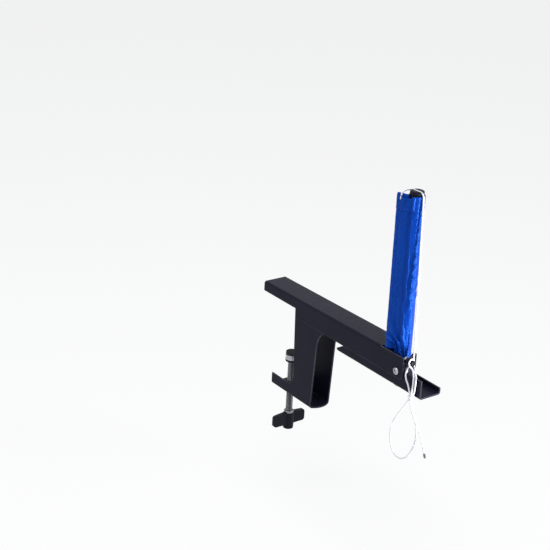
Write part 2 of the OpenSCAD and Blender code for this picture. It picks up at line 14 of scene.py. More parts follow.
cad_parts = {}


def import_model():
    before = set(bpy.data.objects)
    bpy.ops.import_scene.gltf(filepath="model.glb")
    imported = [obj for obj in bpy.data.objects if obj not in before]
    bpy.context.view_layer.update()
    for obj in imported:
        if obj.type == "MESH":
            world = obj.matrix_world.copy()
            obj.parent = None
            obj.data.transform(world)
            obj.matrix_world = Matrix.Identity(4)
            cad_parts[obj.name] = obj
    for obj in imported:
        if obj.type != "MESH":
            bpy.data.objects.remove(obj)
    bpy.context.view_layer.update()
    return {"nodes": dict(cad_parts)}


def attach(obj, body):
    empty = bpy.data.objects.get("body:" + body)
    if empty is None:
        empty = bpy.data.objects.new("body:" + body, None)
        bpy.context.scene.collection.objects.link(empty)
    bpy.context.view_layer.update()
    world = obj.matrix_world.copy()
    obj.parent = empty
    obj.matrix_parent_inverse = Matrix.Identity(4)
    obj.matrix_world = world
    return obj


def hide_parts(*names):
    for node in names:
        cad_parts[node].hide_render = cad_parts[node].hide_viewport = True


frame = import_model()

MM = 0.001
scene = bpy.context.scene
scene.view_settings.view_transform = "Standard"


def having(thing, **settings):
    """The thing, with its settings made in the order given."""
    for key, value in settings.items():
        setattr(thing, key, value)
    return thing


def placed(name, data, **settings):
    """A new object in the scene."""
    made = having(bpy.data.objects.new(name, data), **settings)
    scene.collection.objects.link(made)
    return made


# ---- camera
PHOTO_PX = 550
SENSOR_MM = 36
FOCAL_PX = 1271.3
CENTRE_PX_V = 265.4
CAMERA_AT = Vector((0.89870, -0.69909, 0.47722))
CAMERA_LOOKS = Vector((-0.75192, 0.55289, -0.35907))
CAMERA_ROLL = math.radians(2.868)


def make_camera():
    data = having(bpy.data.cameras.new("camera"), sensor_width=SENSOR_MM)
    data.lens = FOCAL_PX * SENSOR_MM / PHOTO_PX
    data.shift_y = (CENTRE_PX_V - PHOTO_PX / 2) / PHOTO_PX
    turn = CAMERA_LOOKS.to_track_quat("-Z", "Y") @ Quaternion((0, 0, 1), CAMERA_ROLL)
    scene.camera = placed("camera", data, location=CAMERA_AT, rotation_mode="QUATERNION",
                          rotation_quaternion=turn)


make_camera()


# ---- materials
class Tree:
    """The node tree of a material or a world, with short calls for its nodes."""

    def __init__(self, owner):
        owner.use_nodes = True
        self.nodes, self.links = owner.node_tree.nodes, owner.node_tree.links

    def node(self, kind, fed=(), **settings):
        """A new node; fed gives the value, or the output to link, of each input that is set."""
        made = having(self.nodes.new(kind), **settings)
        for socket, value in dict(fed).items():
            if isinstance(value, bpy.types.NodeSocket):
                self.links.new(value, made.inputs[socket])
            else:
                made.inputs[socket].default_value = value
        return made

    def maths(self, operation, a, b=0.0):
        return self.node("ShaderNodeMath", {0: a, 1: b}, operation=operation).outputs[0]


class Finish(Tree):
    """A material, with the nodes that the finishes share."""

    def __init__(self, name, **fixed):
        self.mat = bpy.data.materials.new(name)
        super().__init__(self.mat)
        self.shader = self.nodes["Principled BSDF"]
        for socket, value in fixed.items():
            self.shader.inputs[socket.replace("_", " ")].default_value = value
        self.place = self.node("ShaderNodeTexCoord").outputs["Object"]

    def noise(self, scale, detail=3.0, rough=0.5, place=None):
        fed = {"Scale": scale, "Detail": detail, "Roughness": rough, "Vector": place or self.place}
        return self.node("ShaderNodeTexNoise", fed).outputs["Fac"]

    def mapped(self, socket, value, place=None):
        """A place with a mapping node's Scale or Rotation applied to it."""
        made = self.node("ShaderNodeMapping", {socket: value, "Vector": place or self.place})
        return made.outputs["Vector"]

    def split(self, place):
        made = self.node("ShaderNodeSeparateXYZ", {0: place})
        return made.outputs["X"], made.outputs["Y"]

    def ramp(self, value, *stops):
        """A colour ramp of (position, colour) stops."""
        made = self.node("ShaderNodeValToRGB", {"Fac": value})
        elements = made.color_ramp.elements
        while len(elements) < len(stops):
            elements.new(0.5)
        for element, (position, colour) in zip(elements, stops):
            element.position = position
            element.color = (*colour, 1)
        return made.outputs["Color"]

    def span(self, value, *limits):
        """The value mapped from one range to another: limits are low, high, new low, new high."""
        fed = dict(zip(("From Min", "From Max", "To Min", "To Max"), limits), Value=value)
        return self.node("ShaderNodeMapRange", fed).outputs["Result"]

    def mix(self, share, a, b):
        """a and b are outputs, or colours of three numbers."""
        a, b = (c if isinstance(c, bpy.types.NodeSocket) else (*c, 1) for c in (a, b))
        fed = {"Factor": share, 6: a, 7: b}
        return self.node("ShaderNodeMix", fed, data_type="RGBA").outputs[2]

    def colour(self, value):
        self.links.new(value, self.shader.inputs["Base Color"])

    def roughness(self, value):
        self.links.new(value, self.shader.inputs["Roughness"])

    def bump(self, *layers):
        """Layers of (height, distance in metres, strength), the coarsest first."""
        normal = None
        for height, distance, strength in layers:
            fed = {"Distance": distance, "Strength": strength, "Height": height}
            if normal:
                fed["Normal"] = normal
            normal = self.node("ShaderNodeBump", fed).outputs["Normal"]
        self.links.new(normal, self.shader.inputs["Normal"])


def powder_coat(name, dark, light):
    """Satin powder coat: a fine orange peel and a faint mottle."""
    f = Finish(name, Specular_IOR_Level=0.07)
    f.colour(f.ramp(f.noise(60, 3), (0.3, dark), (0.72, light)))
    f.roughness(f.span(f.noise(420, 3), 0.3, 0.7, 0.36, 0.46))
    f.bump((f.noise(1500, 2), 0.00005, 0.25))
    return f.mat


def zinc_plate(name, dark, light):
    """Zinc plate: cool grey, with fine turning lines and duller patches."""
    f = Finish(name, Metallic=1.0)
    lines = f.noise(900, 2, place=f.mapped("Scale", (0.15, 0.15, 4)))
    f.colour(f.ramp(f.noise(160, 4), (0.3, dark), (0.7, light)))
    f.roughness(f.span(f.noise(300, 3), 0.3, 0.7, 0.24, 0.42))
    f.bump((lines, 0.00005, 0.3))
    return f.mat


def groove_darkened_thread(axis_x, root_r, crest_r):
    """Zinc thread that is darker in its grooves and brighter on its crests, their boundary made
    uneven by noise.
    """
    f = Finish("groove_darkened_thread", Metallic=1.0)
    x, y = f.split(f.place)
    x = f.maths("SUBTRACT", x, axis_x)
    radius = f.maths("SQRT", f.maths("ADD", f.maths("POWER", x, 2), f.maths("POWER", y, 2)))
    blotches = f.maths("MULTIPLY", f.noise(380, 4), 0.5)
    height = f.maths("ADD", f.span(radius, root_r, crest_r, 0, 1), blotches)
    f.colour(f.ramp(height, (0.3, (0.03, 0.026, 0.027)), (0.75, (0.12, 0.118, 0.128)),
                    (1.2, (0.24, 0.245, 0.27))))
    f.roughness(f.span(height, 0.2, 1.2, 0.5, 0.27))
    f.bump((f.noise(1400, 2), 0.00004, 0.3))
    return f.mat


def moulded_plastic(name, dark, light, rough):
    """Moulded plastic with a fine spark-eroded grain and faint flow marks."""
    f = Finish(name, Specular_IOR_Level=0.05)
    marks = f.noise(70, 4, place=f.mapped("Scale", (1, 1, 0.35)))
    f.colour(f.ramp(marks, (0.3, dark), (0.7, light)))
    f.roughness(f.span(f.noise(350, 3), 0.3, 0.7, rough - 0.06, rough + 0.08))
    f.bump((f.noise(2600, 2), 0.00006, 0.35))
    return f.mat


def black_rubber():
    f = Finish("black_rubber", Specular_IOR_Level=0.3)
    f.colour(f.ramp(f.noise(120, 5), (0.3, (0.008, 0.008, 0.009)), (0.75, (0.022, 0.022, 0.024))))
    f.roughness(f.span(f.noise(500, 4), 0.3, 0.7, 0.68, 0.88))
    f.bump((f.noise(900, 5), 0.00015, 0.5))
    return f.mat


def satin_cloth():
    """Satin polyester in a fine twill, creased, with ribs of the weave across the flap, and painted
    shade and light over its creases.
    """
    f = Finish("satin_cloth", Specular_IOR_Level=0.3, Specular_Tint=(0.12, 0.72, 1, 1),
               Metallic=0.12, Anisotropic=0.9, Anisotropic_Rotation=0.25)
    weave_at = f.node("ShaderNodeUVMap", uv_map="cloth").outputs["UV"]
    across, down = f.split(weave_at)
    slanting = f.maths("ADD", across, f.maths("MULTIPLY", down, 0.8))
    twill = f.maths("SINE", f.maths("MULTIPLY", slanting, 11000))
    picks = f.maths("SINE", f.maths("MULTIPLY", down, 14000))
    turned_at = f.mapped("Rotation", (0, 0, 0.6), weave_at)
    ribs = f.noise(150, 3, place=f.mapped("Scale", (1, 0.16, 1), turned_at))
    creases = f.noise(60, 5, 0.6, place=f.mapped("Scale", (1, 0.35, 1), weave_at))
    # Painted shade and light: the colour is darker in the hollows of the creases and lighter on
    # their ridges, which the bump also raises.
    painted_crease_shade = f.mix(f.span(creases, 0.35, 0.65, 0, 1), (0.0008, 0.023, 0.25), (0.0018, 0.037, 0.34))
    f.colour(f.mix(f.span(twill, -1, 1, 0, 0.2), painted_crease_shade, (0.008, 0.075, 0.5)))
    f.roughness(f.span(ribs, 0.3, 0.7, 0.3, 0.48))
    f.bump((creases, 0.0007, 0.4), (ribs, 0.0004, 0.35), (twill, 0.00006, 0.4),
           (picks, 0.00003, 0.25))
    return f.mat


def thread_blue():
    f = Finish("sewing_thread", Roughness=0.55, Specular_IOR_Level=0.1)
    f.colour(f.ramp(f.noise(900, 3), (0.3, (0.004, 0.045, 0.36)), (0.7, (0.009, 0.08, 0.5))))
    f.bump((f.noise(4000, 2), 0.00005, 0.5))
    return f.mat


def braided_cord():
    """White polyester braid, with painted shade greying the hollows between its strands."""
    f = Finish("braided_cord", Sheen_Weight=0.35, Sheen_Roughness=0.5, Specular_IOR_Level=0.35)
    relief = f.node("ShaderNodeAttribute", attribute_name="relief").outputs["Fac"]
    worn = f.noise(210, 4)
    unshaded_braid = f.mix(f.span(worn, 0.35, 0.7, 0, 1), (0.8, 0.81, 0.86), (0.87, 0.875, 0.91))
    # Painted shade: the colour goes grey where the strands' relief is low, in the hollows of the
    # braid.
    f.colour(f.mix(f.span(relief, 0, 0.75, 1, 0), unshaded_braid, (0.45, 0.46, 0.54)))
    f.roughness(f.span(worn, 0.3, 0.7, 0.62, 0.8))
    f.bump((f.noise(3800, 3), 0.00008, 0.5))
    return f.mat


# A finish is the record's slot and the material.
PAINT = "black_paint", powder_coat(
    "powder_coat", (0.0068, 0.0072, 0.0165), (0.0092, 0.0097, 0.0215))
# Painted highlight: a lighter powder coat for the bevels of the sheet's edges, standing in for the
# light that these rounded edges catch.
EDGE_HIGHLIGHT_PAINT = powder_coat("powder_coat_edge", (0.03, 0.031, 0.045), (0.075, 0.077, 0.1))
ZINC = "zinc", zinc_plate("zinc_plate", (0.34, 0.35, 0.38), (0.52, 0.53, 0.56))
SCREW_ZINC = "zinc", zinc_plate("dull_zinc", (0.14, 0.145, 0.17), (0.3, 0.31, 0.35))
PLASTIC = "black_plastic", moulded_plastic(
    "moulded_plastic", (0.0095, 0.0095, 0.0145), (0.016, 0.016, 0.0235), 0.38)
RUBBER = "black_rubber", black_rubber()
CLOTH = "sleeve_cloth", satin_cloth()
THREAD = "sleeve_cloth", thread_blue()
CORD = "cord_white", braided_cord()
TIP = "tip_grey", moulded_plastic("shrunk_tip", (0.12, 0.12, 0.15), (0.19, 0.19, 0.225), 0.45)


# ---- shapes, in millimetres
def polar(radius, angle, z=0.0):
    """The point at a radius and an angle in radians about Z."""
    return Vector((radius * math.cos(angle), radius * math.sin(angle), z))


def joined(*shapes):
    """Several (points, faces) shapes as one."""
    points, faces = [], []
    for more, loops in shapes:
        base = len(points)
        points += more
        faces += [[base + i for i in loop] for loop in loops]
    return points, faces


def turned(shape, at=(0, 0, 0), axis=(0, 0, 1)):
    """A shape made about Z, moved to stand at a point and along an axis."""
    turn = Vector((0, 0, 1)).rotation_difference(Vector(axis)).to_matrix()
    return [turn @ Vector(p) + Vector(at) for p in shape[0]], shape[1]


def mirrored(shape):
    """The shape on the other side of the arm's middle plane."""
    return [Vector((p[0], -p[1], p[2])) for p in shape[0]], [loop[::-1] for loop in shape[1]]


def rounded(profile, radius, steps=3):
    """A (radius, height) profile whose inner corners are cut to an arc."""
    out = [profile[0]]
    for before, here, after in zip(profile, profile[1:], profile[2:]):
        a, b, c = Vector(before), Vector(here), Vector(after)
        cut = min(radius, (a - b).length * 0.45, (c - b).length * 0.45)
        start, end = b + (a - b).normalized() * cut, b + (c - b).normalized() * cut
        for i in range(steps + 1):
            t = i / steps
            out.append(tuple(start * (1 - t) ** 2 + b * 2 * t * (1 - t) + end * t * t))
    return out + [profile[-1]]


def lathe(profile, steps=48, closed=False):
    """A solid of revolution about Z, from (radius, height) points. A closed one makes a ring."""
    points, rings, faces = [], [], []
    for r, z in profile:
        if r < 1e-6:
            rings.append([len(points)] * steps)
            points.append(Vector((0, 0, z)))
        else:
            rings.append(list(range(len(points), len(points) + steps)))
            points += [polar(r, 2 * math.pi * k / steps, z) for k in range(steps)]
    pairs = list(zip(rings, rings[1:])) + ([(rings[-1], rings[0])] if closed else [])
    for low, high in pairs:
        for k in range(steps):
            loop = [low[k], low[(k + 1) % steps], high[(k + 1) % steps], high[k]]
            loop = [i for n, i in enumerate(loop) if i not in loop[:n]]
            if len(loop) > 2:
                faces.append(loop)
    if not closed:
        faces += [ring for ring in (rings[0][::-1], rings[-1]) if ring[0] != ring[1]]
    return points, faces


def rod(low, high, radius, soften=0.3, steps=40):
    """A round rod about Z with softened ends."""
    return lathe(rounded([(0, low), (radius, low), (radius, high), (0, high)], soften), steps)


def tube_faces(rings, sides):
    """Faces over rings of points that follow each other, with both ends closed."""
    faces = []
    for low in range(0, (rings - 1) * sides, sides):
        for k in range(sides):
            after = (k + 1) % sides
            faces.append([low + k, low + after, low + sides + after, low + sides + k])
    return faces + [list(range(sides))[::-1], list(range((rings - 1) * sides, rings * sides))]


def prism(outline, depth):
    """A flat outline of (x, y) points, raised along Z by depth."""
    n = len(outline)
    faces = tube_faces(2, n)
    return [Vector((x, y, z)) for z in (0, depth) for x, y in outline], faces[n:] + faces[:n]


def box(low, high):
    outline = [(low[0], low[1]), (high[0], low[1]), (high[0], high[1]), (low[0], high[1])]
    return turned(prism(outline, high[2] - low[2]), (0, 0, low[2]))


def arc(cx, cy, r, start, end, steps=8):
    """Points on an arc, its angles in degrees."""
    angles = [math.radians(start + (end - start) * k / steps) for k in range(steps + 1)]
    return [(cx + r * math.cos(a), cy + r * math.sin(a)) for a in angles]


def as_mesh(name, shape, weld=True):
    mesh = bpy.data.meshes.new(name)
    mesh.from_pydata([Vector(p) * MM for p in shape[0]], [], shape[1])
    work = bmesh.new()
    work.from_mesh(mesh)
    if weld:
        bmesh.ops.remove_doubles(work, verts=work.verts, dist=1e-3 * MM)
    bmesh.ops.recalc_face_normals(work, faces=work.faces)
    work.to_mesh(mesh)
    work.free()
    return mesh


def piece(name, shape, body, finish, replaces=(), weld=True):
    """A new piece in the scene, from a shape in millimetres or from a mesh."""
    slot, material = finish
    mesh = shape if isinstance(shape, bpy.types.Mesh) else as_mesh(name, shape, weld)
    mesh.materials.clear()
    mesh.materials.append(material)
    mesh.polygons.foreach_set("use_smooth", [True] * len(mesh.polygons))
    made = placed(name, mesh)
    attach(made, body)
    if replaces:
        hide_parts(*replaces)
    return made


def bevel(thing, width, segments=2, angle=40):
    """Rounds a piece's sharp edges, and keeps its flat faces flat."""
    made = having(thing.modifiers.new("bevel", "BEVEL"), width=width * MM, segments=segments,
                  limit_method="ANGLE", angle_limit=math.radians(angle))
    having(thing.modifiers.new("normals", "WEIGHTED_NORMAL"), weight=100, keep_sharp=True)
    return made


def cut(name, shape, *cutters):
    """A shape with others cut out of it, as a mesh."""
    body = placed(name, as_mesh(name, shape))
    tools = [placed("cutter", as_mesh("cutter", cutter)) for cutter in cutters]
    for tool in tools:
        having(body.modifiers.new("cut", "BOOLEAN"), operation="DIFFERENCE", solver="EXACT",
               object=tool)
    graph = bpy.context.evaluated_depsgraph_get()
    mesh = bpy.data.meshes.new_from_object(body.evaluated_get(graph))
    for thing in (body, *tools):
        bpy.data.objects.remove(thing)
    return mesh


# ---- the cord
ARM_RUN = 161
CORD_D = 1.5
# The route of the part's source, X measured from the arm's outboard end.
CORD_POINTS = [
    # out of the flap's hem and over the cap
    (-24.6, -10.6, 149.6), (-24.5, -10.5, 152.4), (-24.7, -9.4, 155), (-24.9, -6.4, 156.5),
    (-24.4, -3, 157.2), (-22.6, -0.6, 157.4), (-19.4, 0, 157.4), (-15, 0, 157.4), (-12, 0, 157.4),
    (-9.7, 0, 156.6), (-8.4, 0, 154.8), (-8, 0, 152.5),
    # down past the peg
    (-5.5, -0.7, 115), (-3, -1.4, 78), (-0.5, -2.1, 40), (1, -2.6, 18), (1.4, -3, 10),
    # over the wall and down to the knot
    (2.4, -3.1, 4.6), (4.6, -4, 2.2), (7.6, -6, 1.5), (11, -8.6, 1), (14.4, -10.9, 0.5),
    (16.8, -12.5, -0.2), (18.2, -14, -3), (18.5, -14.5, -7.5), (18.1, -14.5, -12.5),
    (16.35, -14.5, -18),
    # the hanging loop
    (16, -14.3, -22.5), (17.6, -14, -27.5), (20.3, -13.8, -34), (23, -13.4, -43),
    (24.2, -13.2, -52), (23, -13.2, -61), (19, -13.4, -71), (13.5, -13.6, -79),
    (6.5, -13.8, -83), (-0.5, -14, -82),
    (-5.5, -14.2, -76), (-7.7, -14.4, -66), (-6, -14.6, -54), (-1, -14.8, -44), (6, -15, -33),
    (11.5, -15.2, -24), (14.5, -15.3, -18),
    # back up to the peg
    (12.3, -14.9, -13.5), (9.4, -14.4, -9), (6.5, -14.2, -5.5), (4.8, -13.8, -1.5), (4, -12.1, 1.4),
    (3.5, -10.2, 3.6),
    # one turn round the peg
    (3.3, -8, 4.75), (3.35, -5.9, 5.2), (3.45, -4.4, 7.1), (3.6, -4.7, 9.6), (3.8, -6.7, 11.1),
    (4.05, -9.1, 10.8), (4.35, -10.65, 8.8), (4.7, -10.5, 6.5), (5.4, -9.4, 4.8),
    # through the knot to the tip
    (6.7, -8.8, 3.5), (8.2, -9, 2.5), (10.1, -10, 1.7), (12.1, -11.5, 0.8), (14.1, -12.9, -0.5),
    (15.6, -14.3, -3.3), (16.4, -15.2, -7.5), (16.5, -15.9, -12.5), (16.35, -16.2, -18),
    (16.4, -16.3, -22.5), (18.6, -16.3, -28.5), (23, -15.8, -36), (27, -14, -44), (30.3, -12, -54),
    (32.5, -9.5, -67),
]
CORD_ROUTE = [Vector((x + ARM_RUN, y, z)) for x, y, z in CORD_POINTS]
KNOT_AT = Vector((ARM_RUN + 15.5, -15.3, -18))


def smooth_path(points, gap):
    """Points about gap apart on the centripetal Catmull-Rom curve through the given ones."""
    ends = [points[0] * 2 - points[1], *points, points[-1] * 2 - points[-2]]
    out = []
    for a, b, c, d in zip(ends, ends[1:], ends[2:], ends[3:]):
        t0, t1 = 0.0, (b - a).length ** 0.5
        t2 = t1 + (c - b).length ** 0.5
        t3 = t2 + (d - c).length ** 0.5
        steps = max(2, round((c - b).length / gap))
        for k in range(steps):
            t = t1 + (t2 - t1) * k / steps
            ab = (a * (t1 - t) + b * (t - t0)) / (t1 - t0)
            bc = (b * (t2 - t) + c * (t - t1)) / (t2 - t1)
            cd = (c * (t3 - t) + d * (t - t2)) / (t3 - t2)
            abc = (ab * (t2 - t) + bc * (t - t0)) / (t2 - t0)
            bcd = (bc * (t3 - t) + cd * (t - t1)) / (t3 - t1)
            out.append((abc * (t2 - t) + bcd * (t - t1)) / (t2 - t1))
    return out + [points[-1]]


def braid(path, diameter, sides=20, lay=6.5, relief=0.07, strands=4):
    """A braided tube along a path: (shape, height of the strands at each point from 0 to 1).

    lay is the length of a strand's turn, and relief how far the strands stand out of the radius.
    """
    points, heights, along = [], [], 0.0
    side = None
    for i, here in enumerate(path):
        way = (path[min(i + 1, len(path) - 1)] - path[max(i - 1, 0)]).normalized()
        side = side or way.orthogonal()
        side = (side - way * side.dot(way)).normalized()
        up = way.cross(side)
        if i:
            along += (here - path[i - 1]).length
        for k in range(sides):
            a = 2 * math.pi * k / sides
            turn = 2 * math.pi * along / lay
            over = max(math.cos(strands * (a + turn)), math.cos(strands * (a - turn)))
            height = max(0.0, 0.5 + 0.5 * over)
            r = diameter / 2 * (1 + relief * (height - 0.6))
            points.append(here + (side * math.cos(a) + up * math.sin(a)) * r)
            heights.append(height)
    return (points, tube_faces(len(path), sides)), heights


def braided_piece(name, path, diameter, replaces):
    shape, heights = braid(path, diameter)
    made = piece(name, shape, "root", CORD, replaces, weld=False)
    made.data.attributes.new("relief", "FLOAT", "POINT").data.foreach_set("value", heights)
    return made


def knot_path():
    """Two turns round the strands, then a slanting pass over them that is tucked back under."""
    inner, outer, over = 1.3, 2.3, 2.65
    start, sweep, points = -150, 990, 60
    rising, low, high, tucked = 0.62, -1.4, 1.5, -1.2
    tuck_in, spread, tuck_out = 0.12, 0.55, 0.9
    out = []
    for k in range(points + 1):
        t = k / points
        if t < tuck_in:
            r = inner + (outer - inner) * t / tuck_in
        elif t > tuck_out:
            r = over - (over - inner) * (t - tuck_out) / (1 - tuck_out)
        else:
            r = outer + (over - outer) * max(0.0, (t - spread) / (tuck_out - spread))
        if t < rising:
            z = low + (high - low) * t / rising
        else:
            z = high + (tucked - high) * (t - rising) / (1 - rising)
        out.append(KNOT_AT + polar(r, math.radians(start + sweep * t), z))
    return out


PATH_GAP = 0.33
KNOT_D = 1.3
TIP_LEN = 4.5
TIP_FORM = [(0, -0.3), (0.9, -0.3), (1.05, 0.4), (1.0, 3.6), (0.85, TIP_LEN), (0, TIP_LEN)]

cord_line = smooth_path(CORD_ROUTE, PATH_GAP)
cord = braided_piece("tension_cord_braid", cord_line, CORD_D, ["tension_cord"])
knot = braided_piece("cord_knot_turns", smooth_path(knot_path(), PATH_GAP), KNOT_D, ["cord_knot"])
tip_way = CORD_ROUTE[-1] - CORD_ROUTE[-2]
tip = piece("cord_tip_tube", turned(lathe(rounded(TIP_FORM, 0.35), 24), CORD_ROUTE[-1], tip_way),
            "root", TIP, ["cord_tip"])


# ---- folded sheet
SHEET = 1.5
BEND_R = 1.75            # radius of a bend at the middle of the sheet
BEND_STEPS = 6
ARM_HALF = 13.5
NEST_HALF = 11.98        # outer half width of the channels nested in the arm
NEST_MID = NEST_HALF - SHEET / 2  # half width of their walls' middle planes
ARM_REACH = 50
ARM_H, ARM_RISE = 10, 2  # height of the arm's top at its inboard end, and its rise to the other
FAR_END = ARM_RUN - 21   # outboard end of the arm's far wall
OPEN_IN = 129.3          # from here on the arm has no top, to let the post and its sleeve through
BRACKET_X = ARM_RUN + 0.2  # outer face of the peg bracket
POST_X = 144.5
SCREW_X = -16


def arm_top(x):
    return ARM_H + ARM_RISE * (x + ARM_REACH) / (ARM_REACH + ARM_RUN)


def sheet_piece(name, shape, replaces):
    """Sheet metal, from the middle surface of the sheet."""
    made = piece(name, shape, "root", PAINT, replaces)
    having(made.modifiers.new("sheet", "SOLIDIFY"), thickness=SHEET * MM, offset=0,
           use_even_offset=True)
    # The bevels take the lighter edge coat, a painted highlight along every sheet edge.
    made.data.materials.append(EDGE_HIGHLIGHT_PAINT)
    bevel(made, 0.4).material = 1


def grid(rows):
    """Quads between neighbouring rows of equally many points."""
    n = len(rows[0])
    points = [Vector(p) for row in rows for p in row]
    faces = [
        [i * n + k, i * n + k + 1, (i + 1) * n + k + 1, (i + 1) * n + k]
        for i in range(len(rows) - 1) for k in range(n - 1)
    ]
    return points, faces


def plate(outline):
    return [Vector(p) for p in outline], [list(range(len(outline)))]


def bend_rows(half, z_at, up, stations):
    """Rows of points over the near bend of a channel, from its wall to its web.

    half is the wall's middle plane, z_at(x) the web's middle plane, up is 1 where the walls
    rise from the web and -1 where they hang from it, stations(share) the row's X places.
    """
    rows = []
    for k in range(BEND_STEPS + 1):
        a = math.radians(90 * k / BEND_STEPS)
        y = -half + BEND_R * (1 - math.cos(a))
        lift = up * BEND_R * (1 - math.sin(a))
        rows.append([(x, y, z_at(x) + lift) for x in stations(k / BEND_STEPS)])
    return rows


def arm_side(end):
    """The arm's near side, out to an end: its wall, and the bend up to the cut in the top."""
    half = ARM_HALF - SHEET / 2
    skirt_start, skirt_low, corner, top_corner = 3, -9.5, 4.5, 0.6
    ends = -ARM_REACH, OPEN_IN
    rows = bend_rows(half, lambda x: arm_top(x) - SHEET / 2, -1, lambda share: ends)
    wall = [(-ARM_REACH, 0), (skirt_start, 0), (skirt_start, skirt_low)]
    wall += arc(end - corner, skirt_low + corner, corner, -90, 0)
    wall += [(end, arm_top(end) - top_corner), (end - top_corner, arm_top(end))]
    wall += [(OPEN_IN, arm_top(OPEN_IN))]
    near_side = plate([(x, -half, z) for x, z in wall] + rows[0][::-1])
    return joined(near_side, grid(rows)), rows[-1]


def top_arm():
    near, ((x0, y, z0), (x1, _, z1)) = arm_side(ARM_RUN)
    far, _ = arm_side(FAR_END)
    top = plate([(x0, y, z0), (x1, y, z1), (x1, -y, z1), (x0, -y, z0)])
    sheet_piece("arm_sheet", joined(near, mirrored(far), top), ["top_arm"])


def clamp_frame():
    low = -95 + SHEET / 2
    inboard, outboard, bow, jaw_top = -32, 32.5, 4.3, -83
    throat, throat_low, throat_r, nest_gap = 0.5, 3.3, 9.5, 0.5
    back_x, flare_z, flare_r, flare_turn = 36.8, -28, 20, 60
    hole_r, edge_steps = 4.25, 10
    bow_r = (NEST_MID ** 2 + bow ** 2) / (2 * bow)

    def bowed(y):
        return outboard + bow - bow_r + math.sqrt(bow_r ** 2 - y ** 2)

    def floor_ends(share):
        return inboard, bowed(NEST_MID - BEND_R * (1 - math.cos(math.pi / 2 * share)))

    rows = bend_rows(NEST_MID, lambda x: low, 1, floor_ends)
    inside_top = arm_top(throat) - SHEET - nest_gap
    wall = [(x, z) for x, _, z in rows[0]]
    wall += arc(back_x + flare_r, flare_z, flare_r, 180, 180 - flare_turn, 12)
    wall += [(back_x + flare_r / 2, inside_top), (throat, inside_top), (throat, 0)]
    wall += arc(throat_low - throat_r, jaw_top + throat_r, throat_r, 0, -90, 12)
    near_side = plate([(x, -NEST_MID, z) for x, z in wall + [(inboard, jaw_top)]])
    web_y = rows[-1][0][1]
    places = (web_y * (1 - k / edge_steps) for k in range(edge_steps + 1))
    edge = [(bowed(y), y, low) for y in places]
    hole = [(SCREW_X + x, y, low) for x, y in arc(0, 0, hole_r, 0, -180, 16)]
    floor = plate([(inboard, web_y, low), *edge, *hole, (inboard, 0, low)])
    side = joined(near_side, grid(rows), floor)
    sheet_piece("frame_sheet", joined(side, mirrored(side)), ["clamp_frame"])


def post_carrier():
    floor_z, wall_top, far_end_top = -19, -1, -12.5
    inboard, outboard, corner, end_slope = 67, 184, 3, 31
    low, corner_z = floor_z + SHEET / 2, floor_z + corner

    def start(share):
        """Where the rounded lower corner begins, at a share of the way round the bend."""
        z = floor_z + (BEND_R + SHEET / 2) * (1 - math.sin(math.pi / 2 * share))
        return inboard + corner - math.sqrt(max(0, corner ** 2 - (z - corner_z) ** 2))

    rows = bend_rows(NEST_MID, lambda x: low, 1, lambda share: (start(share), outboard))
    slope_x = inboard + (wall_top - corner_z) / math.tan(math.radians(end_slope))

    def wall(y, outboard_end):
        outline = [(x, z) for x, _, z in rows[0]] + outboard_end
        outline += [(slope_x, wall_top), (inboard, corner_z)]
        return plate([(x, y, z) for x, z in outline])

    near_wall = wall(-NEST_MID, [(outboard, wall_top)])
    far_end = [(outboard, far_end_top), (FAR_END, far_end_top), (FAR_END, wall_top)]
    far_wall = wall(NEST_MID, far_end)
    web_y = rows[-1][0][1]
    floor = plate([(start(1), web_y, low), (outboard, web_y, low),
                   (outboard, -web_y, low), (start(1), -web_y, low)])
    shape = joined(near_wall, grid(rows), mirrored(grid(rows)), far_wall, floor)
    sheet_piece("carrier_sheet", shape, ["post_carrier"])


def peg_bracket():
    near_y, far_y, top, corner = -10.4, 1.6, 14, 1.8
    horn_in, horn_slope, ledge = -2.9, 3, 11
    plane, foot_in, low = BRACKET_X - SHEET / 2, 153.2, -17.5 + SHEET / 2
    turns = [math.radians(90 * k / BEND_STEPS) for k in range(BEND_STEPS + 1)]
    bend = [(plane - BEND_R + BEND_R * math.sin(a), low + BEND_R * (1 - math.cos(a)))
            for a in turns]
    strip = grid([[(x, y, z) for x, z in [(foot_in, low), *bend]] for y in (near_y, far_y)])
    upright = [(near_y, bend[-1][1]), (far_y, bend[-1][1])]
    upright += arc(far_y - corner, top - corner, corner, 0, 90, 5)
    upright += [(horn_in, top), (horn_in - horn_slope, ledge)]
    upright += arc(near_y + corner, ledge - corner, corner, 90, 180, 5)
    shape = joined(strip, plate([(plane, y, z) for y, z in upright]))
    sheet_piece("bracket_sheet", shape, ["peg_bracket"])


top_arm()
clamp_frame()
post_carrier()
peg_bracket()


# ---- screw, knob and pad
SCREW_R = 3.5
THREAD_ROOT = 2.98
PITCH = 1.0
CREST, FLANK = 0.1, 0.7  # shares of the pitch that the crest and the two flanks take
FACE_LOW = -59           # where the pad's rubber lies on its cup
CUP_LOW = -64


def threaded(z0, z1, steps=40, per_turn=8):
    """A right-hand thread about Z, its crests flat and its ends run out."""
    rows = round((z1 - z0) / PITCH * per_turn)
    points = []
    for i in range(rows + 1):
        z = z0 + (z1 - z0) * i / rows
        fade = max(0, min(1, (z - z0) / PITCH, (z1 - z) / PITCH))
        for k in range(steps):
            phase = (z / PITCH - k / steps) % 1
            ridge = min(1, max(0, (abs(phase - 0.5) * 2 - CREST) / FLANK))
            r = SCREW_R - (SCREW_R - THREAD_ROOT) * ridge * fade
            points.append(polar(r, 2 * math.pi * k / steps, z))
    return points, tube_faces(rows + 1, steps)


